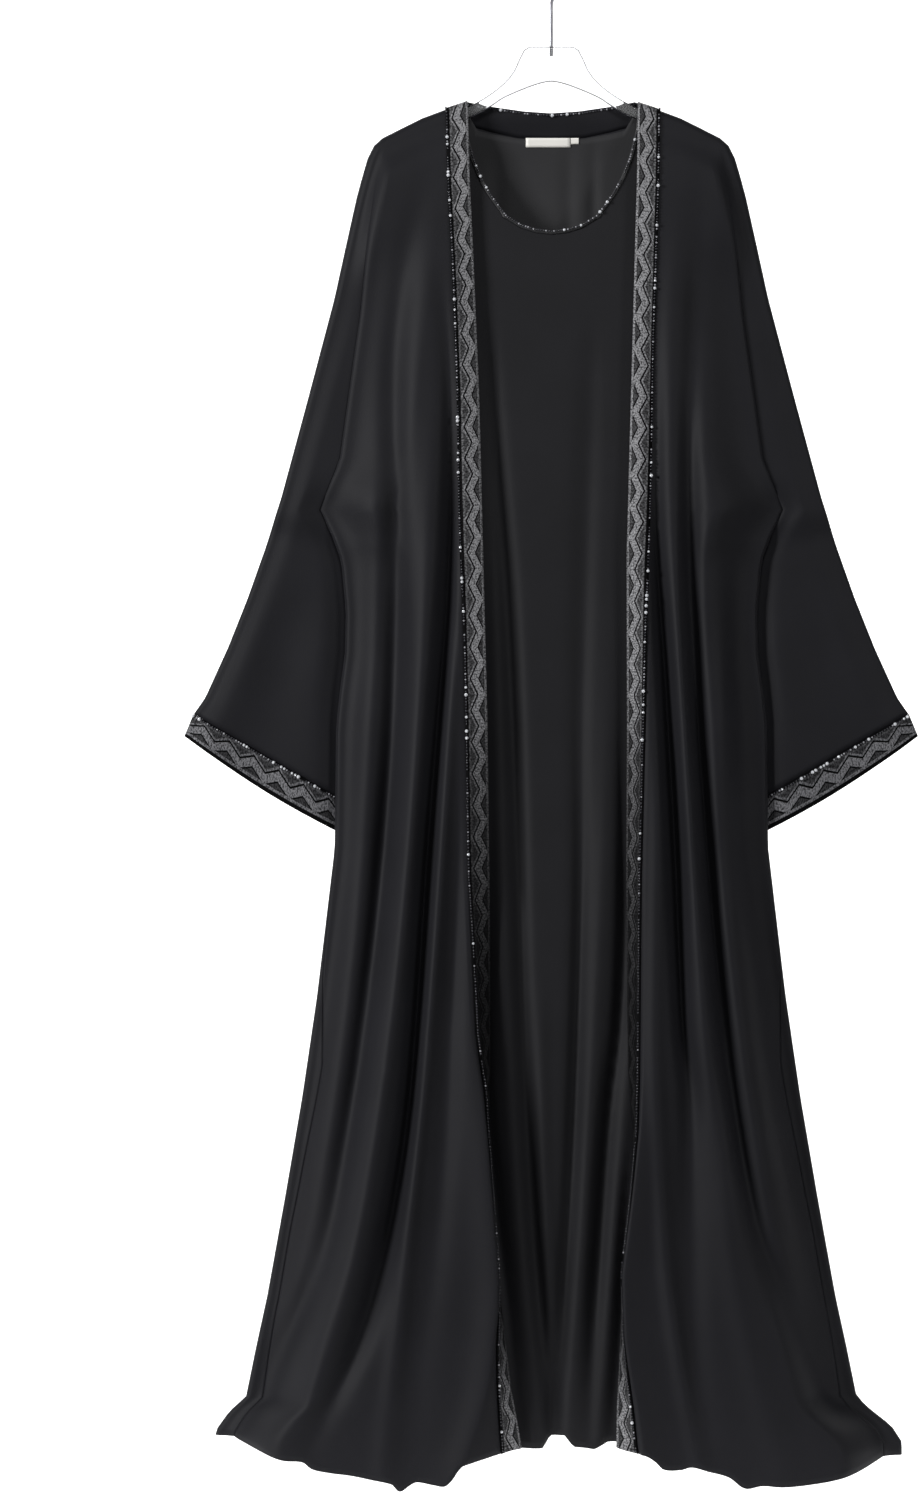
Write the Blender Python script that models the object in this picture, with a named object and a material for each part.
"""Open-front batwing abaya with its inner dress, hanging on a clear hanger, at real size.

Every size is in millimetres. Half runs outward from the garment's middle, depth runs toward the
viewer, and drop runs down from the top of the shoulders. The world origin is the inside top of
the hook, where a rail holds it, with +X to the viewer's right and the front facing -Y.
"""

import math
from collections import namedtuple

import bmesh
import bpy
from mathutils import Vector

MILLIMETRE = 0.001
DOWN = Vector((0, 0, -1))

# Cloth and gaps
SHOULDER_BELOW_HOOK = 162.0
ROBE_CLOTH = 1.4
DRESS_CLOTH = 1.2
BAND_CLOTH = 1.2
CUFF_CLOTH = 2.2
SEAM_GAP = 0.3
LAYER_GAP = 0.35

# How far the layers stand from the hanger's plane where they pass over its arms
ROBE_ARCH = 8.4
DRESS_ARCH = 6.2
DRESS_UNDER_ROBE = 2.45
SHOULDER_SLOPE = 0.92

# Robe outline, as half widths
Point = namedtuple("Point", "drop half")
UNDERARM = Point(443.0, 251.0)
SHOULDER_LINE = [Point(-14, 0), Point(0, 88), Point(7.6, 111), Point(18.4, 140),
                 Point(29.3, 162), Point(40, 183), Point(48, 192)]
SLEEVE_EDGE = [Point(48, 192), Point(62, 199), Point(84, 205.4), Point(105, 211), Point(159, 223),
               Point(214, 235), Point(322, 263.5), Point(430, 292.7), Point(484, 310),
               Point(539, 329.5), Point(593, 351), Point(647, 375.6), Point(665, 388)]
CREASE = [Point(36, 175), Point(85, 190), Point(140, 198), Point(231, 207), Point(323, 220),
          Point(389, 229), Point(443, 251)]
SIDE_EDGE = [Point(443, 251), Point(470, 238), Point(498, 227.5), Point(553, 222.5),
             Point(600, 223.5), Point(640, 229), Point(678, 233), Point(810, 234.5),
             Point(864, 241), Point(972, 254), Point(1081, 270), Point(1189, 288.5),
             Point(1297, 308), Point(1352, 320), Point(1406, 331)]
LEFT_FLARE = [Point(1422, 349), Point(1440, 362), Point(1450, 365)]
RIGHT_FLARE = [Point(1420, 346), Point(1438, 369), Point(1455, 380)]
SIDE_SEAM_INSET = [(443, 0.15), (470, 3.0), (864, 3.5), (950, 6), (1047, 20), (1140, 17),
                   (1226, 15), (1316, 16), (1450, 24)]

# Sleeve end and cuff, from the cuff's seam to its lower edge
CUFF_SEAM_OUTER = Point(665.0, 388.0)
CUFF_SEAM_INNER = Point(757.0, 229.0)
CUFF_HEM_OUTER = Point(684.0, 397.0)
CUFF_HEM_INNER = Point(786.0, 228.0)
SLEEVE_DEPTH = 9.0
SLEEVE_TUCK = 1.6
SLEEVE_LATE_TUCK = 4.0
SLEEVE_WAVE = 2.2
CUFF_ROWS = 2
SLEEVE_SET_BACK = 7.0
SIDE_SET_FORWARD = 5.0
SIDE_NOSE = 5.0
SLEEVE_NOSE = 4.0
SIDE_ROUNDING = 70.0
SHOULDER_ROUNDING = 36.0
SLEEVE_ROUNDING = 22.0
SIDE_FORWARD_IN = 60.0
SIDE_FORWARD_TO = 800.0
SIDE_FORWARD_FADE = 150.0
UNDERARM_FADE = 45.0
SLEEVE_FLAT_FROM = 60.0
SLEEVE_FLAT_FADE = 160.0
LATE_TUCK_FROM = 600.0
LATE_TUCK_FADE = 120.0
SLEEVE_WAVES = 2.6
SLEEVE_WAVE_ROOM = 30.0
SLEEVE_WAVE_FROM = 500.0
SLEEVE_WAVE_FADE = 100.0

# How far each layer stands from the hanger's plane
Layers = namedtuple("Layers", "drop robe_front dress_front dress_back robe_back")
LAYERS = [Layers(0, 8.4, 6.3, 6.3, 8.4), Layers(40, 15, 9.5, 11, 16),
          Layers(100, 24, 12.5, 16, 24), Layers(200, 33, 16, 18, 28),
          Layers(443, 42, 20, 19, 32), Layers(850, 50, 23, 22, 38),
          Layers(1150, 60, 27, 24, 44), Layers(1500, 70, 34, 28, 50)]

# The robe's front edges: ridge is the outermost line of the turned edge, bead the band's outer
# line and open the edge itself, all as half widths, and back is how far bead lies behind ridge
EdgeRow = namedtuple("EdgeRow", "drop ridge bead opening back")
LEFT_EDGE = [EdgeRow(0, 119, 115, 90.5, 0), EdgeRow(91, 117, 113, 88.5, 0),
             EdgeRow(149, 114, 110, 86, 0), EdgeRow(322, 106, 102, 79, 1),
             EdgeRow(494, 102, 98.5, 74.5, 1), EdgeRow(668, 98, 94, 70, 1),
             EdgeRow(840, 95, 91, 68, 2), EdgeRow(1011, 86, 83, 68, 3),
             EdgeRow(1075, 75, 74, 69, 4), EdgeRow(1110, 71, 72, 70, 5),
             EdgeRow(1264, 58, 60, 61, 6), EdgeRow(1300, 58, 60, 57, 6),
             EdgeRow(1350, 63, 61.5, 51, 8), EdgeRow(1391, 69, 60.5, 46, 12),
             EdgeRow(1430, 80, 58, 38, 19), EdgeRow(1470, 94, 55, 31, 27)]
RIGHT_EDGE = [EdgeRow(0, 122, 118, 93.5, 0), EdgeRow(91, 120, 116.5, 92, 0),
              EdgeRow(322, 112.5, 109, 86, 1), EdgeRow(494, 107, 103.5, 81.5, 1),
              EdgeRow(668, 104, 101, 82.5, 1), EdgeRow(840, 100, 97, 82, 2),
              EdgeRow(1051, 97, 95, 84, 3), EdgeRow(1110, 94, 93.5, 90, 5),
              EdgeRow(1190, 85, 86, 87, 6), EdgeRow(1264, 75, 77, 78, 6),
              EdgeRow(1330, 77, 79, 76, 6), EdgeRow(1369, 82, 82.5, 74, 6),
              EdgeRow(1410, 90, 88, 71, 7), EdgeRow(1460, 97, 93, 69, 8)]
BAND_WIDTH = 24.5
EDGE_SET_BACK_FADE = 60.0
RIDGE_LIFT = 8.0
RIDGE_FROM = 950.0
RIDGE_FADE = 200.0
RIDGE_BREADTH = 22.0

# Hems, as the drop at each half width
LEFT_HEM = [Point(1457, 30), Point(1476, 94), Point(1495, 108), Point(1492, 142),
            Point(1500, 160), Point(1492, 170), Point(1476, 256), Point(1463, 274),
            Point(1468, 289), Point(1459, 324), Point(1446, 372)]
RIGHT_HEM = [Point(1455, 69), Point(1464, 106), Point(1478, 115), Point(1480, 173),
             Point(1500, 208), Point(1493, 226), Point(1481, 343), Point(1450, 382)]
SEAM_HEM_DROP = 1450.0
BACK_HEM_DROP = 1452.0
BACK_HEM_WAVE = 5.0
BACK_HEM_WAVES = 3
BACK_HEM_HALF = 370.0
BACK_HEM_SETTLE = 60.0
FRONT_EDGES = {-1: LEFT_EDGE, 1: RIGHT_EDGE}
HEMS = {-1: LEFT_HEM, 1: RIGHT_HEM}

# Folds: half widths of each fold's line at three drops, its half breadth and its height, which
# is negative for a trough
Fold = namedtuple("Fold", "top middle bottom half_top half_middle half_bottom breadth height")
FOLD_SPREAD = (0.8, 1.3)
FOLD_FADE = 0.25
FOLD_ROOM_DEPTH = 25.0
FOLD_ROOM_SIDE = 40.0
DRESS_FOLD_ROOM = 14.0
LEFT_FOLDS = [Fold(400, 978, 1440, 160, 188, 322, 19, -10),
              Fold(400, 978, 1490, 110, 141, 178, 11, -10),
              Fold(900, 1200, 1470, 150, 197, 292, 15, -8),
              Fold(650, 1100, 1500, 124, 117, 130, 17, 7),
              Fold(650, 1100, 1500, 142, 172, 238, 13, 6),
              Fold(60, 220, 400, 135, 138, 126, 17, -5)]
RIGHT_FOLDS = [Fold(400, 962, 1465, 150, 179, 318, 19, -10),
               Fold(460, 800, 1080, 118, 130, 142, 10, -8),
               Fold(1020, 1276, 1480, 108, 117, 165, 12, -10),
               Fold(650, 1100, 1500, 141, 152, 196, 16, 7),
               Fold(1000, 1250, 1480, 215, 240, 300, 16, -7),
               Fold(60, 220, 400, 137, 140, 128, 17, -5)]
FRONT_FOLDS = {-1: LEFT_FOLDS, 1: RIGHT_FOLDS}
BACK_FOLDS = [Fold(250, 850, 1460, 40, 55, 80, 18, -8),
              Fold(300, 900, 1460, 105, 128, 175, 17, -9),
              Fold(420, 950, 1460, 160, 192, 262, 18, -9),
              Fold(250, 850, 1460, 2, 0, -4, 15, -6),
              Fold(500, 1000, 1460, 135, 160, 225, 14, 6),
              Fold(500, 1000, 1460, 75, 92, 128, 15, 6)]
DRESS_FRONT_FOLDS = [Fold(480, 1000, 1456, 2, 0, -4, 15, -6),
                     Fold(480, 1000, 1456, 44, 43, 38, 17, 5),
                     Fold(480, 1000, 1456, 86, 88, 92, 15, -4)]
DRESS_BACK_FOLDS = [Fold(20, 600, 1450, 12, 16, 30, 12, -3),
                    Fold(20, 600, 1450, 45, 58, 90, 12, -3)]

# Inner dress: the armhole and the side, then the scoop of the neck
DRESS_SIDE = [Point(18, 137), Point(90, 141), Point(150, 150), Point(210, 167), Point(260, 184),
              Point(443, 188), Point(700, 194), Point(900, 208), Point(1200, 250),
              Point(1450, 292)]
DRESS_UNDERARM_DROP = 260.0
DRESS_NOSE = 4.0
DRESS_ROUNDING = 60.0
SCOOP_CORNER = Point(124.0, 49.0)
SCOOP_SIDE = [Point(2, 93), Point(30, 92), Point(62, 84), Point(84, 75), Point(102, 65),
              Point(124, 49)]
SCOOP_BOTTOM = [Point(141, 0), Point(139, 17), Point(134, 33), Point(124, 49)]
DRESS_HEM = [(-300, 1450), (-60, 1452), (-31, 1457), (-10, 1457), (-2, 1444), (14, 1443),
             (23, 1455), (46, 1458), (60, 1450), (300, 1450)]
DRESS_SIDE_SEAM = (DRESS_CLOTH + SEAM_GAP) / 2
DRESS_SIDE_SEAM_FROM = 259.0
DRESS_INNER_SHARE = 0.36
DRESS_INNER_FADE = 700.0
BINDING_WIDTH = 4.5
BINDING_FIRST_ROW = 3
DRESS_NECK_COLUMN = 6
DRESS_BACK_COLUMNS = 10
DRESS_BACK_HEM = 1446.0
BINDING_CLOTH = 1.0

# Back neckline: the seam of the neckband and its free edge
NECK_SEAM = [Point(38.5, 0), Point(37, 36), Point(31, 66), Point(26, 85)]
NECK_SIDE = [Point(9.1, 115), Point(14, 104), Point(20, 94), Point(26, 85)]
NECK_FREE = [Point(11, 0), Point(9, 30), Point(4.5, 62), Point(1.5, 80), Point(0.6, 90)]
NECK_FREE_HALVES = (90.0, 88.8, 86.8, 83.5, 78.0)
NECK_COLUMN = 8
NECK_ROW_DROP = 9.1
NECK_FADE = 220.0
DRESS_NECK_FADE = 300.0
DRESS_NECK_SEAM = [Point(40, 0), Point(38.5, 36), Point(34, 64), Point(30, 80)]
DRESS_NECK_SIDE = [Point(4, 93), Point(14, 92), Point(23, 87), Point(30, 80)]

# Labels, on the dress back just under the neckband
LABEL_ACROSS = (-27.6, 21.0)
LABEL_DROP = (38.0, 48.0)
TAB_ACROSS = (21.6, 30.0)
TAB_DROP = (38.0, 44.5)
LABEL_CLOTH = 0.6
LABEL_LIFT = 1.4
LABEL_COLUMNS = 4

# Hanger and hook
HANGER_THICKNESS = 7.0
HANGER_EDGE = 2.2
HANGER_BELOW_ROBE = 4.1
HANGER_TOP = [Point(-60, 0), Point(-60, 24), Point(-56, 30), Point(-46, 35), Point(-32, 41.5),
              Point(-18, 54), Point(-6, 70)]
HANGER_ARM = [Point(0, 88), Point(7.6, 111), Point(18.4, 140), Point(29.3, 162)]
HANGER_TIP = [Point(47, 181), Point(52, 184), Point(57, 183), Point(59, 178)]
HANGER_UNDER = [Point(48.5, 162), Point(37, 140), Point(26.5, 111), Point(17, 88), Point(4, 64),
                Point(-4, 52), Point(-16, 24), Point(-21, 8), Point(-22, 0)]
WIRE_RADIUS = 1.75
CROOK_RADIUS = 19.0
WIRE_IN_HANGER = 10.5
WIRE_SIDES = 10
BORE_CLEARANCE = 0.3
STEM_TOP = -58.0
CROOK_START = -50.0
CROOK_END = 205.0
CROOK_STEPS = 16
STEM_STEPS = 5
STEM_HANDLE = 10.0
CROOK_HANDLE = 8.0

# How finely the cloth is divided
EDGE_STEPS = (0.15, 3.0, 7.0, 12.0)
INNER_STEPS = (0.0, 1.5, 6.0, 13.0)
OUTER_STEPS = (0.0, 4.0, 9.0, 16.0)
TOP_GUESS = 20.0
TOP_TRIES = 4
FRONT_COLUMNS = 10
BACK_COLUMNS = 12
SLEEVE_COLUMNS = 3
SLEEVE_ROW_WIDTH = 46.0
YOKE_ROWS = (0.06, 0.15, 0.27, 0.41, 0.56, 0.71, 0.86, 1.0)
YOKE_ROW_COUNT = len(EDGE_STEPS) + len(YOKE_ROWS)
SLEEVE_ROWS = (0.10, 0.22, 0.36, 0.50, 0.64, 0.78, 0.90, 1.0)
BODY_ROWS = (0.025, 0.05, 0.10, 0.155, 0.21, 0.27, 0.33, 0.39, 0.45, 0.51, 0.57, 0.63, 0.69,
             0.75, 0.81, 0.865, 0.91, 0.945, 0.972, 1.0)
DRESS_ROWS = (0.0, 0.035, 0.08, 0.13, 0.19, 0.26, 0.33, 0.40, 0.47, 0.54, 0.61, 0.68, 0.75, 0.82,
              0.88, 0.94, 0.975, 1.0)
STRAP_ROWS = (0.10, 0.25, 0.42, 0.60, 0.80, 1.0)
DRESS_SIDE_COLUMNS = 4
SCOOP_COLUMNS = 5
SLEEVE_POINTS = len(INNER_STEPS) + SLEEVE_COLUMNS - 1 + len(EDGE_STEPS)
DRESS_EDGE_STEPS = (0.15, 3.5, 8.0)
DRESS_BACK_ROWS = (0.02, 0.05, 0.09, 0.15, 0.23, 0.33, 0.44, 0.55, 0.66, 0.77, 0.89, 1.0)

BLACK_CREPE = ((0.018, 0.018, 0.021), 0.75, 0.0)
BLACK_LINING = ((0.026, 0.026, 0.030), 0.80, 0.0)
SILVER_TRIM = ((0.10, 0.10, 0.11), 0.45, 0.2)
WHITE_LABEL = ((0.80, 0.80, 0.77), 0.60, 0.0)
CLEAR_PLASTIC = ((0.85, 0.87, 0.88), 0.08, 0.0)
STEEL_WIRE = ((0.35, 0.35, 0.36), 0.28, 1.0)


def read_table(rows, drop, column):
    """Value of one column at a drop, on straight lines between the rows."""
    if drop <= rows[0][0]:
        return rows[0][column]
    for above, below in zip(rows, rows[1:]):
        if drop <= below[0]:
            share = (drop - above[0]) / (below[0] - above[0])
            return above[column] + share * (below[column] - above[column])
    return rows[-1][column]


def read_drop(points, half):
    """Drop of an outline at a half width, on straight lines between its points."""
    ordered = sorted((point.half, point.drop) for point in points)
    return read_table(ordered, half, 1)


def ease(share):
    """Smooth step from 0 to 1."""
    share = max(0.0, min(1.0, share))
    return share * share * (3.0 - 2.0 * share)


def blend(first, last, share):
    return first + (last - first) * share


def inset_at(travel, nose):
    """How far inside the outline a point lies after travelling round the rounded edge."""
    quarter = nose * math.pi / 2
    if travel < quarter:
        return nose * (1.0 - math.cos(travel / nose))
    return nose + travel - quarter


def rounded(inset, full, nose, rounding):
    """Half depth of the cloth at an inset from the outline: a round nose, then a slow rise."""
    if inset <= 0.0:
        return 0.0
    if inset < nose:
        return math.sqrt(inset * (2.0 * nose - inset))
    return nose + (full - nose) * ease((inset - nose) / rounding)


def fold_height(folds, half, drop):
    """Sum of the folds at a place, each fading in below its top."""
    total = 0.0
    for fold in folds:
        if drop < fold.top:
            continue
        share = (drop - fold.top) / (fold.bottom - fold.top)
        middle = (fold.middle - fold.top) / (fold.bottom - fold.top)
        line = (fold.half_top * (share - middle) * (share - 1.0) / middle
                + fold.half_middle * share * (share - 1.0) / (middle * (middle - 1.0))
                + fold.half_bottom * share * (share - middle) / (1.0 - middle))
        spread = fold.breadth * blend(FOLD_SPREAD[0], FOLD_SPREAD[1], share)
        near = (half - line) / spread
        total += fold.height * ease(share / FOLD_FADE) * math.exp(-near * near)
    return total


def nose_at(drop):
    """Radius of the sleeve's rounded outer edge."""
    return blend(ROBE_ARCH, SIDE_NOSE, ease(drop / UNDERARM.drop))


def layer_depth(name, drop):
    return read_table(LAYERS, drop, Layers._fields.index(name))


def side_middle(inset, drop):
    """How far the body's edge comes forward beside the sleeve, at an inset from the edge."""
    forward = ease((drop - UNDERARM.drop) / UNDERARM_FADE)
    forward *= 1.0 - ease((drop - SIDE_FORWARD_TO) / SIDE_FORWARD_FADE)
    return SIDE_SET_FORWARD * forward * (1.0 - ease(inset / SIDE_FORWARD_IN))


def sleeve_middle(drop):
    """The sleeve hangs a little behind the body's edge."""
    return -SLEEVE_SET_BACK * ease((drop - UNDERARM.drop) / UNDERARM_FADE)


def yoke_depth(layer, half, drop):
    """Half depth of the robe above the underarms, body and sleeve in one."""
    full = layer_depth(layer, drop)
    crease = read_table(CREASE, drop, 1)
    inside = crease - half
    step = ease((drop - SLEEVE_FLAT_FROM) / SLEEVE_FLAT_FADE)
    flat = min(full, blend(full, SLEEVE_DEPTH, step))
    rise = rounded(inside, full - flat, min(SIDE_NOSE, 0.5 * (full - flat) + 0.01), SIDE_ROUNDING)
    over_arm = (drop - read_drop(SHOULDER_LINE, half)) * SHOULDER_SLOPE
    to_edge = read_table(SLEEVE_EDGE, drop, 1) - half
    to_point = math.hypot(half - UNDERARM.half, drop - UNDERARM.drop)
    wide = full if inside > 0.0 else flat
    slow = SIDE_ROUNDING if inside > 0.0 else SLEEVE_ROUNDING
    return min(flat + rise,
               rounded(over_arm, full, ROBE_ARCH, SHOULDER_ROUNDING),
               rounded(to_edge, max(flat, nose_at(drop)) + rise, nose_at(drop), SLEEVE_ROUNDING),
               rounded(to_point, wide, SIDE_NOSE, slow))


class Sheet:
    """A cloth's middle surface: named points, four-sided cells and seam directions."""

    def __init__(self):
        self.points = {}
        self.cells = []
        self.across = {}
        self.fixed = {}

    def put(self, key, side, half, depth, drop):
        x = side * half
        z = -(SHOULDER_BELOW_HOOK + drop)
        self.points[key] = Vector((x, -depth, z)) * MILLIMETRE

    def fill(self, rows, turned=False):
        """Lay a cell between each four neighbouring keys of a list of rows."""
        for upper, lower in zip(rows, rows[1:]):
            for column in range(len(upper) - 1):
                cell = (upper[column], lower[column], lower[column + 1], upper[column + 1])
                self.cells.append((cell[0], cell[3], cell[2], cell[1]) if turned else cell)

    def part(self, rows, turned):
        """Another sheet on some of the same points."""
        other = Sheet()
        other.points = self.points
        other.fill(rows, turned)
        return other

    def normals(self):
        """Outward direction at each point, square to any seam that the point lies on."""
        found = {key: Vector() for key in self.points}
        for cell in self.cells:
            corners = [self.points[key] for key in cell]
            area = (corners[2] - corners[0]).cross(corners[3] - corners[1])
            for key in cell:
                found[key] += area
        for key, direction in self.across.items():
            along = direction.normalized()
            found[key] -= along * found[key].dot(along)
        for key in found:
            found[key].normalize()
        found.update(self.fixed)
        return found


def make_material(name, finish):
    colour, roughness, metallic = finish
    material = bpy.data.materials.new(name)
    material.use_nodes = True
    shader = material.node_tree.nodes["Principled BSDF"]
    shader.inputs["Base Color"].default_value = (*colour, 1.0)
    shader.inputs["Roughness"].default_value = roughness
    shader.inputs["Metallic"].default_value = metallic
    return material


def add_object(name, vertices, faces, finish):
    mesh = bpy.data.meshes.new(name)
    mesh.from_pydata([tuple(vertex) for vertex in vertices], [], faces)
    mesh.materials.append(make_material(name, finish))
    piece = bpy.data.objects.new(name, mesh)
    bpy.context.scene.collection.objects.link(piece)
    return piece


def make_wall(name, sheet, normals, thickness, finish, lift=0.0):
    """Closed cloth wall on a sheet, lifted off it by a distance along the normals."""
    used = sorted({key for cell in sheet.cells for key in cell}, key=str)
    index = {key: place for place, key in enumerate(used)}
    outer = [sheet.points[key] + normals[key] * (lift + thickness / 2) * MILLIMETRE
             for key in used]
    inner = [sheet.points[key] + normals[key] * (lift - thickness / 2) * MILLIMETRE
             for key in used]
    count = len(used)
    faces = []
    edges = {}
    for cell in sheet.cells:
        a, b, c, d = (index[key] for key in cell)
        for face in ((a, b, c), (a, c, d)):
            if len(set(face)) == 3:
                faces.append(face)
                faces.append(tuple(count + corner for corner in reversed(face)))
        for start, end in ((a, b), (b, c), (c, d), (d, a)):
            if start != end:
                edges[(start, end)] = True
    for start, end in edges:
        if (end, start) not in edges:
            faces.append((start, count + start, count + end))
            faces.append((start, count + end, end))
    return add_object(name, outer + inner, faces, finish)


def front_strip(rows, drop):
    """Half width and set-back of the turned edge: opening, middle of the band, bead line."""
    ridge, bead, opening, back = (read_table(rows, drop, column) for column in range(1, 5))
    turn = math.sqrt(max(0.0, BAND_WIDTH ** 2 - (bead - opening) ** 2))
    steps = [(opening, back + turn), ((opening + bead) / 2, back + turn / 2), (bead, back)]
    return ridge, steps


def front_columns(rows, drop, outer, insets):
    """Half width and set-back of every column from the opening to the body's outer edge."""
    ridge, steps = front_strip(rows, drop)
    columns = list(steps)
    last = outer - insets[-1]
    for step in range(FRONT_COLUMNS + 1):
        columns.append((blend(ridge, last, step / FRONT_COLUMNS), 0.0))
    columns.extend((outer - inset, 0.0) for inset in reversed(insets[:-1]))
    return columns


def sleeve_columns(inner, outer, nose):
    """Half widths of the sleeve's columns, close together at both of its edges."""
    scale = min(1.0, (outer - inner) / SLEEVE_ROW_WIDTH)
    near = [inner + scale * inset for inset in INNER_STEPS]
    far = [outer - scale * inset_at(travel, nose) for travel in reversed(EDGE_STEPS)]
    middle = [blend(near[-1], far[0], step / SLEEVE_COLUMNS)
              for step in range(1, SLEEVE_COLUMNS)]
    return near + middle + far


def yoke_drops(top, row):
    """Drop of one of the robe's upper rows in a column that starts at the given top."""
    close = [inset_at(travel, ROBE_ARCH) / SHOULDER_SLOPE for travel in EDGE_STEPS]
    if row < len(close):
        return top + close[row]
    return blend(top + close[-1], UNDERARM.drop, YOKE_ROWS[row - len(close)])


def settle_top(half_at):
    """Top of a column on the shoulder line, found by stepping toward it a few times."""
    drop = TOP_GUESS
    for _ in range(TOP_TRIES):
        drop = read_drop(SHOULDER_LINE, half_at(drop))
    return drop


def ridge_lift(drop):
    """The turned front edge stands a little forward low down, where it folds under."""
    return RIDGE_LIFT * ease((drop - RIDGE_FROM) / RIDGE_FADE)


def side_outline(side):
    return SIDE_EDGE + (LEFT_FLARE if side < 0 else RIGHT_FLARE)


def robe_front_depth(side, half, drop, region):
    """Depth of the robe's front at a place, before the turned edge is set back."""
    if region == "yoke":
        base = yoke_depth("robe_front", half, drop)
        room = base / FOLD_ROOM_DEPTH
    else:
        outer = read_table(side_outline(side), drop, 1)
        full = layer_depth("robe_front", drop)
        base = rounded(outer - half, full, SIDE_NOSE, SIDE_ROUNDING)
        base += side_middle(outer - half, drop)
        room = (outer - half) / FOLD_ROOM_SIDE
    ridge = read_table(FRONT_EDGES[side], drop, 1)
    near_edge = math.exp(-((half - ridge) / RIDGE_BREADTH) ** 2) if half > ridge else 1.0
    folds = ease(room) * fold_height(FRONT_FOLDS[side], half, drop)
    return base + folds + ridge_lift(drop) * near_edge


def robe_back_depth(side, half, drop, region):
    """Depth of the robe's back at a place, as a negative number."""
    if region == "yoke":
        base = yoke_depth("robe_back", half, drop)
        return -base - ease(base / FOLD_ROOM_DEPTH) * fold_height(BACK_FOLDS, half, drop)
    outer = read_table(side_outline(side), drop, 1)
    swell = rounded(outer - half, layer_depth("robe_back", drop), SIDE_NOSE, SIDE_ROUNDING)
    folds = ease((outer - half) / FOLD_ROOM_SIDE) * fold_height(BACK_FOLDS, half, drop)
    return side_middle(outer - half, drop) - swell - folds


def outer_insets(start):
    """Insets of a body's outer columns, which start at a distance round the rounded edge."""
    return [inset_at(start + travel, SIDE_NOSE) for travel in OUTER_STEPS]


def front_body_columns(side, drop):
    outer = read_table(side_outline(side), drop, 1)
    seam = read_table(SIDE_SEAM_INSET, drop, 1) + SEAM_GAP / 2
    return front_columns(FRONT_EDGES[side], drop, outer, outer_insets(seam))


def seam_direction(drop):
    """Direction across the side seam, along the body's section."""
    seam = read_table(SIDE_SEAM_INSET, drop, 1)
    full = layer_depth("robe_front", drop)
    inner, outer = (inset_at(max(0.0, seam + shift), SIDE_NOSE) for shift in (0.1, -0.1))
    rise = (rounded(inner, full, SIDE_NOSE, SIDE_ROUNDING)
            - rounded(outer, full, SIDE_NOSE, SIDE_ROUNDING))
    return inner - outer, rise


def mark_side_seam(sheet, key, side, drop):
    inward, forward = seam_direction(drop)
    sheet.across[key] = Vector((-side * inward, -forward, 0))


def sleeve_row_ends(share):
    """Inner and outer ends of a sleeve row, from the underarm down to the cuff's seam."""
    outer_drop = blend(UNDERARM.drop, CUFF_SEAM_OUTER.drop, share)
    inner_drop = blend(UNDERARM.drop, CUFF_SEAM_INNER.drop, share)
    tucked = SLEEVE_TUCK * ease((inner_drop - UNDERARM.drop) / UNDERARM_FADE)
    tucked += SLEEVE_LATE_TUCK * ease((inner_drop - LATE_TUCK_FROM) / LATE_TUCK_FADE)
    inner = Point(inner_drop, read_table(SIDE_EDGE, inner_drop, 1) - tucked)
    return inner, Point(outer_drop, read_table(SLEEVE_EDGE, outer_drop, 1))


def lower_row(inner, outer, distance):
    """A row's two ends moved down the sleeve by a distance."""
    return Point(inner.drop + distance, inner.half), Point(outer.drop + distance, outer.half)


def sleeve_place(inner, outer, distance, face, nose, middle):
    """Half width, depth and drop of a sleeve row at a distance from its inner end."""
    length = math.hypot(outer.half - inner.half, outer.drop - inner.drop)
    share = distance / length
    drop = blend(inner.drop, outer.drop, share)
    half = blend(inner.half, outer.half, share)
    inset = min(distance, length - distance)
    swell = rounded(inset, SLEEVE_DEPTH, nose, SLEEVE_ROUNDING)
    wave = SLEEVE_WAVE * math.sin(share * SLEEVE_WAVES * math.pi)
    wave *= ease(inset / SLEEVE_WAVE_ROOM) * ease((drop - SLEEVE_WAVE_FROM) / SLEEVE_WAVE_FADE)
    return half, middle + face * swell + wave, drop


def lay_sleeve(sheet, side, face, top_row):
    """Sleeve rows below the underarm, hung from the yoke's last row."""
    rows = [top_row]
    for row, share in enumerate(SLEEVE_ROWS):
        inner, outer = sleeve_row_ends(share)
        if share == 1.0:
            inner, outer = lower_row(inner, outer, -SEAM_GAP)
        length = math.hypot(outer.half - inner.half, outer.drop - inner.drop)
        nose = blend(SIDE_NOSE, SLEEVE_NOSE, share)
        middle = sleeve_middle(inner.drop)
        distances = sleeve_columns(0.0, length, nose)
        keys = []
        for column, distance in enumerate(distances):
            key = ("sleeve", side, row, column)
            half, depth, drop = sleeve_place(inner, outer, distance, face, nose, middle)
            if column in (0, len(distances) - 1):
                depth = middle + face * SEAM_GAP / 2
                sheet.across[key] = Vector((0, 1, 0))
            sheet.put(key, side, half, depth, drop)
            keys.append(key)
        rows.append(keys)
    sheet.fill(rows, side != face)


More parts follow.
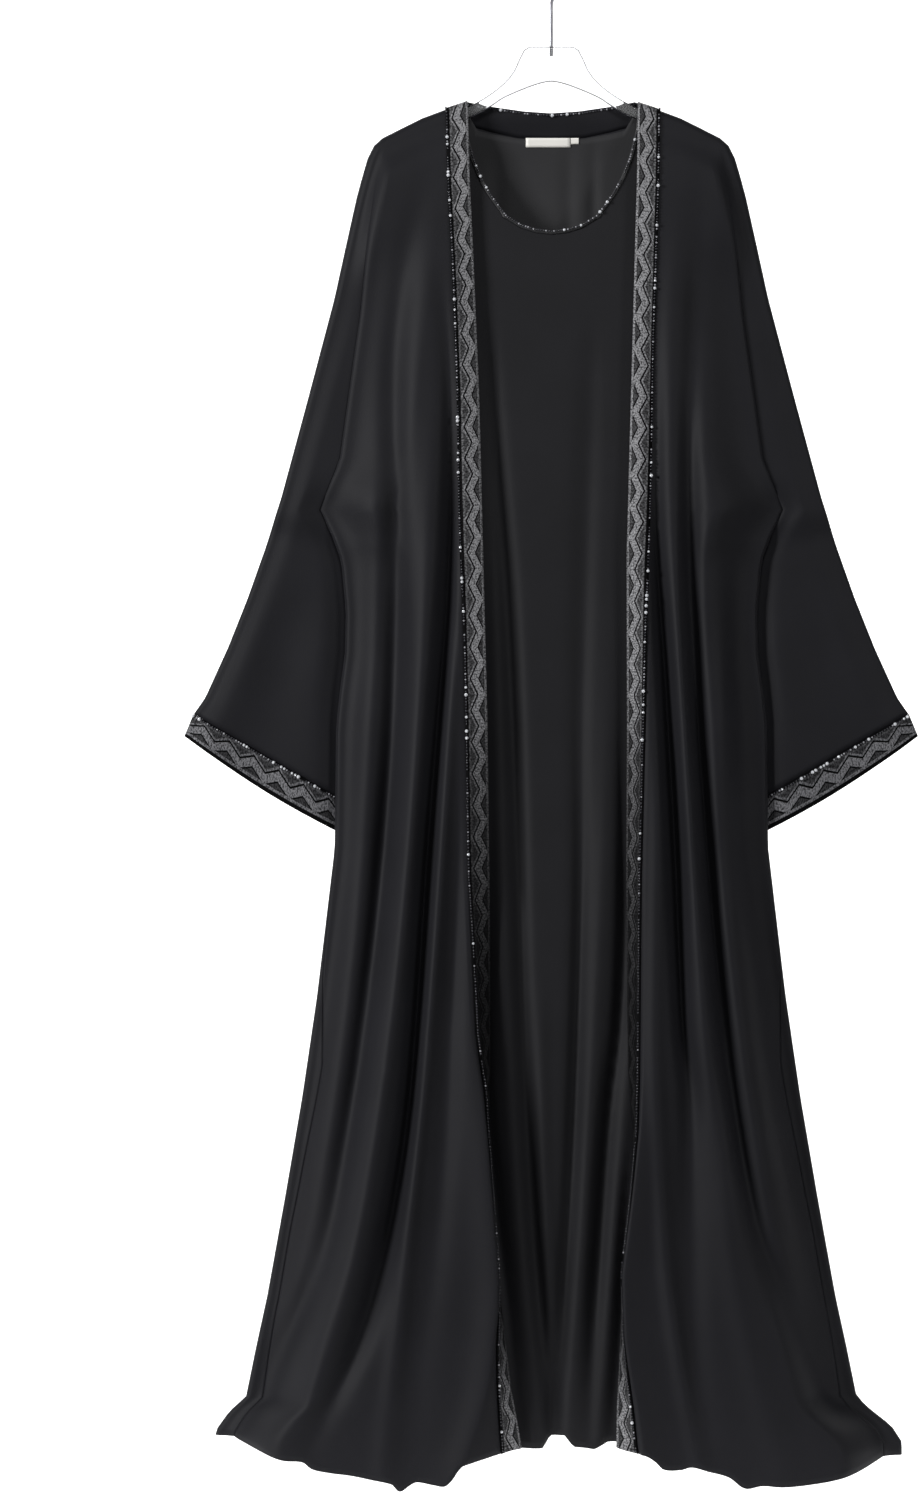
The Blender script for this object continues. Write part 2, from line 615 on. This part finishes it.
def make_robe_front(name, band_name, side):
    """One front with its half of the sleeve, and the band that lies on its edge."""
    sheet = Sheet()

    def columns_at(drop):
        crease = read_table(CREASE, drop, 1)
        edge = read_table(SLEEVE_EDGE, drop, 1)
        body = front_columns(FRONT_EDGES[side], drop, crease, INNER_STEPS)
        return body + [(half, 0.0) for half in sleeve_columns(crease, edge, nose_at(drop))[1:]]

    count = len(columns_at(UNDERARM.drop))
    split = count - SLEEVE_POINTS
    grid = []
    for row in range(YOKE_ROW_COUNT):
        keys = []
        for column in range(count):
            top = settle_top(lambda drop: columns_at(drop)[column][0])
            drop = yoke_drops(top, row)
            half, back = columns_at(drop)[column]
            depth = robe_front_depth(side, half, drop, "yoke")
            depth -= back * ease((drop - top) / EDGE_SET_BACK_FADE)
            key = ("yoke", row, column)
            at_point = row == YOKE_ROW_COUNT - 1 and column == split
            if row == 0 or column == count - 1 or at_point:
                depth = SEAM_GAP / 2
                sheet.across[key] = Vector((0, 1, 0))
            if at_point:
                sheet.fixed[key] = DOWN
            sheet.put(key, side, half, depth, drop)
            keys.append(key)
        grid.append(keys)
    sheet.fill(grid, side < 0)
    lay_sleeve(sheet, side, 1, grid[-1][split:])
    body = [grid[-1][:split + 1]]
    hem_columns = front_body_columns(side, SEAM_HEM_DROP)
    for row, share in enumerate(BODY_ROWS):
        keys = []
        for column in range(split + 1):
            hem_drop = read_drop(HEMS[side], hem_columns[column][0])
            drop = blend(UNDERARM.drop, hem_drop, share)
            half, back = front_body_columns(side, drop)[column]
            key = ("body", row, column)
            sheet.put(key, side, half, robe_front_depth(side, half, drop, "body") - back, drop)
            keys.append(key)
            if column == split:
                mark_side_seam(sheet, key, side, drop)
        body.append(keys)
    sheet.fill(body, side < 0)
    normals = sheet.normals()
    make_wall(name, sheet, normals, ROBE_CLOTH, BLACK_CREPE)
    strip = [row[:3] for row in grid] + [row[:3] for row in body[1:]]
    band = sheet.part(strip, side < 0)
    lift = ROBE_CLOTH / 2 + LAYER_GAP + BAND_CLOTH / 2
    make_wall(band_name, band, normals, BAND_CLOTH, SILVER_TRIM, lift)


def back_body_columns(drop, outer, insets):
    """Half widths of the back's columns; one of them starts at the neckband's end."""
    last = outer - insets[-1]
    columns = []
    for step in range(BACK_COLUMNS + 1):
        even = last * step / BACK_COLUMNS
        neck = read_table(NECK_SIDE, drop, 1)
        if step <= NECK_COLUMN:
            gathered = neck * step / NECK_COLUMN
        else:
            share = (step - NECK_COLUMN) / (BACK_COLUMNS - NECK_COLUMN)
            gathered = blend(neck, last, share)
        columns.append(blend(gathered, even, ease((drop - NECK_SIDE[-1].drop) / NECK_FADE)))
    columns.extend(outer - inset for inset in reversed(insets[:-1]))
    return columns


def back_yoke_columns(drop):
    crease = read_table(CREASE, drop, 1)
    edge = read_table(SLEEVE_EDGE, drop, 1)
    body = back_body_columns(drop, crease, INNER_STEPS)
    return body + sleeve_columns(crease, edge, nose_at(drop))[1:]


def back_drop(column, row):
    """Drop of a point of the back's yoke; its middle columns start at the neckband's seam."""
    top = settle_top(lambda drop: back_yoke_columns(drop)[column])
    if row < len(EDGE_STEPS):
        return yoke_drops(top, row)
    neck = yoke_drops(top, len(EDGE_STEPS) - 1) + NECK_ROW_DROP
    if column < NECK_COLUMN:
        neck = read_drop(NECK_SEAM, back_yoke_columns(NECK_SIDE[-1].drop)[column])
    if row == len(EDGE_STEPS):
        return neck
    return blend(neck, UNDERARM.drop, YOKE_ROWS[row - len(EDGE_STEPS) - 1])


def back_hem(half):
    turn = BACK_HEM_WAVES * math.pi * half / BACK_HEM_HALF
    return BACK_HEM_DROP + BACK_HEM_WAVE * math.sin(turn)


def make_robe_back():
    """The back with both sleeves' back halves, wrapped forward to the side seams low down."""
    sheet = Sheet()
    count = len(back_yoke_columns(UNDERARM.drop))
    split = count - SLEEVE_POINTS
    for side in (-1, 1):
        grid = []
        for row in range(YOKE_ROW_COUNT + 1):
            keys = []
            first = NECK_COLUMN if row < len(EDGE_STEPS) else 0
            for column in range(first, count):
                drop = back_drop(column, row)
                half = back_yoke_columns(drop)[column]
                key = ("yoke", side if column else 0, row, column)
                depth = robe_back_depth(side, half, drop, "yoke")
                at_point = row == YOKE_ROW_COUNT and column == split
                if row == 0 or column == count - 1 or at_point:
                    depth = -SEAM_GAP / 2
                    sheet.across[key] = Vector((0, 1, 0))
                if at_point:
                    sheet.fixed[key] = DOWN
                sheet.put(key, side, half, depth, drop)
                keys.append(key)
            grid.append(keys)
        corner = len(EDGE_STEPS)
        sheet.fill(grid[:corner] + [grid[corner][NECK_COLUMN:]], side > 0)
        sheet.fill(grid[corner:], side > 0)
        lay_sleeve(sheet, side, -1, grid[-1][split:])
        body = [grid[-1][:split + 1] + [grid[-1][split]] * 2]
        seam_hem = read_drop(HEMS[side], front_body_columns(side, SEAM_HEM_DROP)[-1][0])
        hem_outer = read_table(side_outline(side), SEAM_HEM_DROP, 1)
        hem_columns = back_body_columns(SEAM_HEM_DROP, hem_outer, outer_insets(0.0))
        for row, share in enumerate(BODY_ROWS):
            keys = []
            for column in range(split + 1):
                hem_drop = back_hem_at(hem_outer, hem_columns[column], seam_hem)
                drop = blend(UNDERARM.drop, hem_drop, share)
                outer = read_table(side_outline(side), drop, 1)
                half = back_body_columns(drop, outer, outer_insets(0.0))[column]
                key = ("body", side if column else 0, row, column)
                sheet.put(key, side, half, robe_back_depth(side, half, drop, "body"), drop)
                keys.append(key)
            drop = blend(UNDERARM.drop, seam_hem, share)
            outer = read_table(side_outline(side), drop, 1)
            seam = read_table(SIDE_SEAM_INSET, drop, 1) - SEAM_GAP / 2
            for wrap, travel in enumerate((seam / 2, seam)):
                half = outer - inset_at(travel, SIDE_NOSE)
                key = ("wrap", side, row, wrap)
                sheet.put(key, side, half, robe_front_depth(side, half, drop, "body"), drop)
                keys.append(key)
            mark_side_seam(sheet, keys[-1], side, drop)
            body.append(keys)
        sheet.fill(body, side > 0)
    make_wall("robe_back", sheet, sheet.normals(), ROBE_CLOTH, BLACK_CREPE)


def back_hem_at(outer, half, seam_hem):
    """Drop of the back's hem, which meets the front's hem at the side seam."""
    return blend(seam_hem, back_hem(half), ease((outer - half) / BACK_HEM_SETTLE))


def neck_stations():
    """Drop and half width of the neck seam, then of the free edge, from shoulder to middle."""
    stations = []
    corner = len(EDGE_STEPS)
    for row, free in zip(range(corner + 1), NECK_FREE_HALVES):
        drop = back_drop(NECK_COLUMN, row)
        stations.append((drop, back_yoke_columns(drop)[NECK_COLUMN], free))
    for column in range(NECK_COLUMN - 1, -1, -1):
        drop = back_drop(column, corner)
        free = NECK_FREE_HALVES[-1] * column / NECK_COLUMN
        stations.append((drop, back_yoke_columns(drop)[column], free))
    return stations


def make_neckband():
    """Band round the back of the neck, between the back's neck seam and its free edge."""
    sheet = Sheet()
    rows = [[], [], []]
    stations = neck_stations()
    places = [(-1, place) for place in range(len(stations))]
    places += [(1, place) for place in range(len(stations) - 2, -1, -1)]
    for side, place in places:
        seam_drop, seam_half, free_half = stations[place]
        free_drop = read_drop(NECK_FREE, free_half)
        length = math.hypot(seam_half - free_half, seam_drop - free_drop)
        for row in range(3):
            share = row / 2 * (1.0 - SEAM_GAP / length)
            half = blend(free_half, seam_half, share)
            drop = blend(free_drop, seam_drop, share)
            depth = -yoke_depth("robe_back", half, drop)
            key = (row, side, place)
            if place == 0:
                depth = -SEAM_GAP / 2
                drop = read_drop(SHOULDER_LINE, half)
                sheet.across[key] = Vector((0, 1, 0))
            sheet.put(key, side, half, depth, drop)
            rows[row].append(key)
    sheet.fill(rows, True)
    make_wall("neckband_back", sheet, sheet.normals(), ROBE_CLOTH, BLACK_CREPE)


def make_cuff(name, side):
    """Embroidered strip sewn as a ring round the sleeve's end."""
    sheet = Sheet()
    seam_inner, seam_outer = sleeve_row_ends(1.0)
    rows = []
    for row in range(CUFF_ROWS + 1):
        share = row / CUFF_ROWS
        inner = Point(blend(seam_inner.drop, CUFF_HEM_INNER.drop, share),
                      blend(seam_inner.half, CUFF_HEM_INNER.half, share))
        outer = Point(blend(seam_outer.drop, CUFF_HEM_OUTER.drop, share),
                      blend(seam_outer.half, CUFF_HEM_OUTER.half, share))
        length = math.hypot(outer.half - inner.half, outer.drop - inner.drop)
        distances = [0.0] + sleeve_columns(0.0, length, SLEEVE_NOSE)[1:-1] + [length]
        around = [(1, distance) for distance in distances]
        around += [(-1, distance) for distance in reversed(distances[1:-1])]
        keys = []
        for step, (face, distance) in enumerate(around):
            half, depth, drop = sleeve_place(inner, outer, distance, face, SLEEVE_NOSE,
                                             -SLEEVE_SET_BACK)
            key = (row, step)
            sheet.put(key, side, half, depth, drop)
            keys.append(key)
        rows.append(keys + keys[:1])
    sheet.fill(rows, side < 0)
    make_wall(name, sheet, sheet.normals(), CUFF_CLOTH, SILVER_TRIM)


def dress_shoulder(half):
    return read_drop(SHOULDER_LINE, half) + DRESS_UNDER_ROBE


def dress_depth(layer, folds, half, drop):
    """Half depth of the inner dress, drawn in to its side seams and underarms."""
    full = layer_depth(layer, drop)
    over_arm = (drop - dress_shoulder(half)) * SHOULDER_SLOPE
    outer = read_table(DRESS_SIDE, max(drop, DRESS_UNDERARM_DROP), 1)
    to_side = math.hypot(outer - half, max(0.0, DRESS_UNDERARM_DROP - drop))
    if drop > DRESS_UNDERARM_DROP:
        to_side = outer - half
    base = min(rounded(over_arm, full, DRESS_ARCH, DRESS_ROUNDING),
               rounded(to_side, full, DRESS_NOSE, DRESS_ROUNDING))
    return base + ease(base / DRESS_FOLD_ROOM) * fold_height(folds, half, drop)


def dress_drops(top, hem, rows):
    """Drops of a dress column: close rows over the arm, then even ones."""
    close = [top + inset_at(travel, DRESS_ARCH) / SHOULDER_SLOPE for travel in DRESS_EDGE_STEPS]
    return close + [blend(close[-1], hem, share) for share in rows]


def side_half(drop, first, share):
    """Half width of a dress column between its first line and the dress's outer edge."""
    outer = read_table(DRESS_SIDE, drop, 1)
    return blend(first, outer, share)


def make_dress_front():
    """Sleeveless front with a scoop neck, and the binding that lies along the scoop."""
    sheet = Sheet()
    straps = {}
    outer_columns = DRESS_SIDE_COLUMNS + 1
    for side in (-1, 1):
        rows = []
        for column in range(outer_columns + 1):
            top = dress_shoulder(scoop_column(SCOOP_SIDE[0].half, 0.0, column))
            for row, drop in enumerate(dress_drops(top, SCOOP_CORNER.drop, STRAP_ROWS)):
                inner = read_table(SCOOP_SIDE, drop, 1)
                half = scoop_column(inner, drop, column)
                depth = dress_depth("dress_front", DRESS_FRONT_FOLDS, half, drop)
                key = ("strap", side, row, column)
                if row == 0:
                    depth = SEAM_GAP / 2
                    sheet.across[key] = Vector((0, 1, 0))
                sheet.put(key, side, half, depth, drop)
                if column == 0:
                    rows.append([])
                rows[row].append(key)
        sheet.fill(rows, side < 0)
        straps[side] = rows
    middle = [("scoop", 0, column) for column in range(1, 2 * SCOOP_COLUMNS)]
    for place, key in enumerate(middle):
        across = SCOOP_CORNER.half * ((place + 1) / SCOOP_COLUMNS - 1.0)
        half, side = abs(across), (-1 if across < 0 else 1)
        drop = read_drop(SCOOP_BOTTOM, half)
        sheet.put(key, side, half, dress_depth("dress_front", DRESS_FRONT_FOLDS, half, drop), drop)
    top = list(reversed(straps[-1][-1])) + middle + straps[1][-1]
    rows = [top]
    for row, share in enumerate(DRESS_ROWS):
        keys = []
        for place in range(len(top)):
            keys.append(place_dress_point(sheet, row, share, place, outer_columns))
        rows.append(keys)
    sheet.fill(rows)
    normals = sheet.normals()
    make_wall("dress_front", sheet, normals, DRESS_CLOTH, BLACK_CREPE)
    binding = Sheet()
    binding.points = sheet.points
    for side in (-1, 1):
        binding.fill([row[:2] for row in straps[side][BINDING_FIRST_ROW:]], side < 0)
    first, last = outer_columns - 1, len(top) - outer_columns
    binding.fill([row[first:last + 1] for row in rows[:2]])
    lift = DRESS_CLOTH / 2 + LAYER_GAP + BINDING_CLOTH / 2
    make_wall("dress_neck_binding", binding, normals, BINDING_CLOTH, SILVER_TRIM, lift)


def scoop_column(inner, drop, column):
    """Half width of a strap column: the scoop's edge, the binding's edge, then even steps."""
    if column == 0:
        return inner
    return side_half(drop, inner + BINDING_WIDTH, (column - 1) / DRESS_SIDE_COLUMNS)


def place_dress_point(sheet, row, share, place, outer_columns):
    """Put one point of the dress front below its neck and return its key."""
    last = 2 * outer_columns + 2 * SCOOP_COLUMNS
    from_side = min(place, last - place)
    side = -1 if place <= last / 2 else 1
    start = SCOOP_CORNER.drop
    if from_side > outer_columns:
        across = SCOOP_CORNER.half * (1.0 - (from_side - outer_columns) / SCOOP_COLUMNS)
        start = read_drop(SCOOP_BOTTOM, across)
    hem_half = dress_line(SEAM_HEM_DROP, from_side, outer_columns)
    hem = read_table(DRESS_HEM, side * hem_half, 1)
    drop = blend(start + BINDING_WIDTH, hem, share)
    half = dress_line(drop, from_side, outer_columns)
    depth = dress_depth("dress_front", DRESS_FRONT_FOLDS, half, drop)
    key = ("dress", row, place)
    if from_side == 0 and drop > DRESS_SIDE_SEAM_FROM:
        depth = DRESS_SIDE_SEAM
    sheet.put(key, side, half, depth, drop)
    return key


def dress_line(drop, from_side, outer_columns):
    """Half width of a dress column below the scoop, spreading toward the hem."""
    outer = read_table(DRESS_SIDE, drop, 1)
    spread = ease((drop - SCOOP_CORNER.drop) / DRESS_INNER_FADE)
    inner = blend(SCOOP_CORNER.half, DRESS_INNER_SHARE * outer, spread)
    if from_side > outer_columns:
        return inner * (1.0 - (from_side - outer_columns) / SCOOP_COLUMNS)
    if from_side == outer_columns:
        return inner
    first = inner + BINDING_WIDTH
    return blend(first, outer, (outer_columns - 1 - from_side) / DRESS_SIDE_COLUMNS)


def dress_back_half(drop, column):
    """Half width of a column of the dress back; one of them follows the strap's inner edge."""
    outer = read_table(DRESS_SIDE, drop, 1)
    neck = read_table(DRESS_NECK_SIDE, drop, 1)
    if column <= DRESS_NECK_COLUMN:
        gathered = neck * column / DRESS_NECK_COLUMN
    else:
        share = (column - DRESS_NECK_COLUMN) / (DRESS_BACK_COLUMNS - DRESS_NECK_COLUMN)
        gathered = blend(neck, outer, share)
    even = outer * column / DRESS_BACK_COLUMNS
    return blend(gathered, even, ease((drop - DRESS_NECK_SIDE[-1].drop) / DRESS_NECK_FADE))


def dress_back_drops(column):
    """Drops of a column of the dress back, over the arm, at the neck's corner and below."""
    corner_drop = DRESS_NECK_SIDE[-1].drop
    corner_half = dress_back_half(corner_drop, column)
    if column < DRESS_NECK_COLUMN:
        corner_drop = read_drop(DRESS_NECK_SEAM, corner_half)
    else:
        corner_drop += dress_shoulder(corner_half) - dress_shoulder(DRESS_NECK_SIDE[-1].half)
    top = dress_shoulder(dress_back_half(DRESS_NECK_SIDE[0].drop, column))
    return (dress_drops(top, 0.0, ()) + [corner_drop]
            + [blend(corner_drop, DRESS_BACK_HEM, share) for share in DRESS_BACK_ROWS])


def make_dress_back():
    """Plain back of the inner dress."""
    sheet = Sheet()
    corner = len(DRESS_EDGE_STEPS)
    rows = []
    for place in range(-DRESS_BACK_COLUMNS, DRESS_BACK_COLUMNS + 1):
        side, column = (-1 if place < 0 else 1), abs(place)
        for row, drop in enumerate(dress_back_drops(column)):
            if len(rows) <= row:
                rows.append([])
            key = (row, place)
            rows[row].append(key)
            if row < corner and column < DRESS_NECK_COLUMN:
                continue
            half = dress_back_half(drop, column)
            depth = -dress_depth("dress_back", DRESS_BACK_FOLDS, half, drop)
            if row == 0:
                depth = -SEAM_GAP / 2
                sheet.across[key] = Vector((0, 1, 0))
            if column == DRESS_BACK_COLUMNS and drop > DRESS_SIDE_SEAM_FROM:
                depth = -DRESS_SIDE_SEAM
            sheet.put(key, side, half, depth, drop)
    strap = DRESS_BACK_COLUMNS - DRESS_NECK_COLUMN + 1
    sheet.fill([row[:strap] for row in rows[:corner + 1]], True)
    sheet.fill([row[-strap:] for row in rows[:corner + 1]], True)
    sheet.fill(rows[corner:], True)
    make_wall("dress_back", sheet, sheet.normals(), DRESS_CLOTH, BLACK_LINING)


def make_label(name, across, drops):
    """Blank woven label, sewn in under the neckband and lying on the dress back."""
    sheet = Sheet()
    rows = []
    for row in range(2):
        keys = []
        for column in range(LABEL_COLUMNS + 1):
            place = blend(across[0], across[1], column / LABEL_COLUMNS)
            drop = drops[row]
            depth = -dress_depth("dress_back", DRESS_BACK_FOLDS, abs(place), drop) + LABEL_LIFT
            key = (row, column)
            sheet.put(key, 1, place, depth, drop)
            keys.append(key)
        rows.append(keys)
    sheet.fill(rows)
    make_wall(name, sheet, sheet.normals(), LABEL_CLOTH, WHITE_LABEL)


def make_hanger():
    """Clear moulded hanger: a flat plate with rounded edges and a bore for the wire."""
    arm = [Point(point.drop + HANGER_BELOW_ROBE, point.half) for point in HANGER_ARM]
    half_outline = HANGER_TOP + arm + HANGER_TIP + HANGER_UNDER
    right = [(point.half, point.drop) for point in half_outline]
    left = [(-half, drop) for half, drop in reversed(right) if half > 0]
    mesh = bmesh.new()
    front = [mesh.verts.new((half * MILLIMETRE, -HANGER_THICKNESS / 2 * MILLIMETRE,
                             -(SHOULDER_BELOW_HOOK + drop) * MILLIMETRE))
             for half, drop in right + left]
    face = mesh.faces.new(front)
    moved = bmesh.ops.extrude_face_region(mesh, geom=[face])
    back = [item for item in moved["geom"] if isinstance(item, bmesh.types.BMVert)]
    bmesh.ops.translate(mesh, verts=back, vec=(0, HANGER_THICKNESS * MILLIMETRE, 0))
    bmesh.ops.recalc_face_normals(mesh, faces=mesh.faces)
    rims = [edge for edge in mesh.edges
            if abs(edge.verts[0].co.y - edge.verts[1].co.y) < 1e-9]
    bmesh.ops.bevel(mesh, geom=rims, offset=HANGER_EDGE * MILLIMETRE, segments=1,
                    affect="EDGES", clamp_overlap=True)
    data = bpy.data.meshes.new("hanger_body")
    mesh.to_mesh(data)
    mesh.free()
    data.materials.append(make_material("hanger_body", CLEAR_PLASTIC))
    hanger = bpy.data.objects.new("hanger_body", data)
    bpy.context.scene.collection.objects.link(hanger)
    cut_bore(hanger)


def cut_bore(hanger):
    """Bore for the wire in the hanger's flat top."""
    depth = WIRE_IN_HANGER + BORE_CLEARANCE
    top = -(SHOULDER_BELOW_HOOK + HANGER_TOP[0].drop)
    bpy.ops.mesh.primitive_cylinder_add(
        vertices=WIRE_SIDES, radius=(WIRE_RADIUS + BORE_CLEARANCE) * MILLIMETRE,
        depth=2 * depth * MILLIMETRE, location=(0, 0, top * MILLIMETRE))
    cutter = bpy.context.object
    modifier = hanger.modifiers.new("bore", "BOOLEAN")
    modifier.operation = "DIFFERENCE"
    modifier.solver = "EXACT"
    modifier.object = cutter
    bpy.context.view_layer.objects.active = hanger
    bpy.ops.object.modifier_apply(modifier=modifier.name)
    bpy.data.objects.remove(cutter, do_unlink=True)


def hook_path():
    """Middle line of the wire, from inside the hanger up and round the crook."""
    bottom = -(SHOULDER_BELOW_HOOK + HANGER_TOP[0].drop) - WIRE_IN_HANGER
    around = CROOK_RADIUS + WIRE_RADIUS
    centre = -CROOK_RADIUS
    join = math.radians(CROOK_START)
    points = [(0.0, bottom), (0.0, STEM_TOP)]
    meet = (around * math.cos(join), centre + around * math.sin(join))
    heading = (-math.sin(join), math.cos(join))
    before_meet = (meet[0] - CROOK_HANDLE * heading[0], meet[1] - CROOK_HANDLE * heading[1])
    handles = [(0.0, STEM_TOP), (0.0, STEM_TOP + STEM_HANDLE), before_meet, meet]
    for step in range(1, STEM_STEPS + 1):
        share = step / STEM_STEPS
        weights = ((1 - share) ** 3, 3 * share * (1 - share) ** 2, 3 * share ** 2 * (1 - share),
                   share ** 3)
        points.append(tuple(sum(weight * handle[axis] for weight, handle in zip(weights, handles))
                            for axis in range(2)))
    for step in range(1, CROOK_STEPS + 1):
        angle = math.radians(blend(CROOK_START, CROOK_END, step / CROOK_STEPS))
        points.append((around * math.cos(angle), centre + around * math.sin(angle)))
    return points


def make_hook():
    """Wire hook, a round bar swept along its path."""
    path = hook_path()
    vertices, faces = [], []
    for place, (x, z) in enumerate(path):
        before = path[max(0, place - 1)]
        after = path[min(len(path) - 1, place + 1)]
        run = math.hypot(after[0] - before[0], after[1] - before[1])
        sideways = ((after[1] - before[1]) / run, -(after[0] - before[0]) / run)
        for step in range(WIRE_SIDES):
            angle = 2 * math.pi * step / WIRE_SIDES
            reach = WIRE_RADIUS * math.cos(angle)
            vertices.append(Vector((x + sideways[0] * reach, WIRE_RADIUS * math.sin(angle),
                                    z + sideways[1] * reach)) * MILLIMETRE)
    for ring in range(len(path) - 1):
        for step in range(WIRE_SIDES):
            following = (step + 1) % WIRE_SIDES
            start, end = ring * WIRE_SIDES, (ring + 1) * WIRE_SIDES
            faces.append((start + step, start + following, end + following, end + step))
    last = (len(path) - 1) * WIRE_SIDES
    faces.append(tuple(reversed(range(WIRE_SIDES))))
    faces.append(tuple(range(last, last + WIRE_SIDES)))
    add_object("hanger_hook", vertices, faces, STEEL_WIRE)


def main():
    for piece in list(bpy.data.objects):
        bpy.data.objects.remove(piece, do_unlink=True)
    make_robe_back()
    make_robe_front("robe_front_left", "front_band_left", -1)
    make_robe_front("robe_front_right", "front_band_right", 1)
    make_neckband()
    make_cuff("cuff_left", -1)
    make_cuff("cuff_right", 1)
    make_dress_front()
    make_dress_back()
    make_label("main_label", LABEL_ACROSS, LABEL_DROP)
    make_label("size_tab", TAB_ACROSS, TAB_DROP)
    make_hanger()
    make_hook()


main()
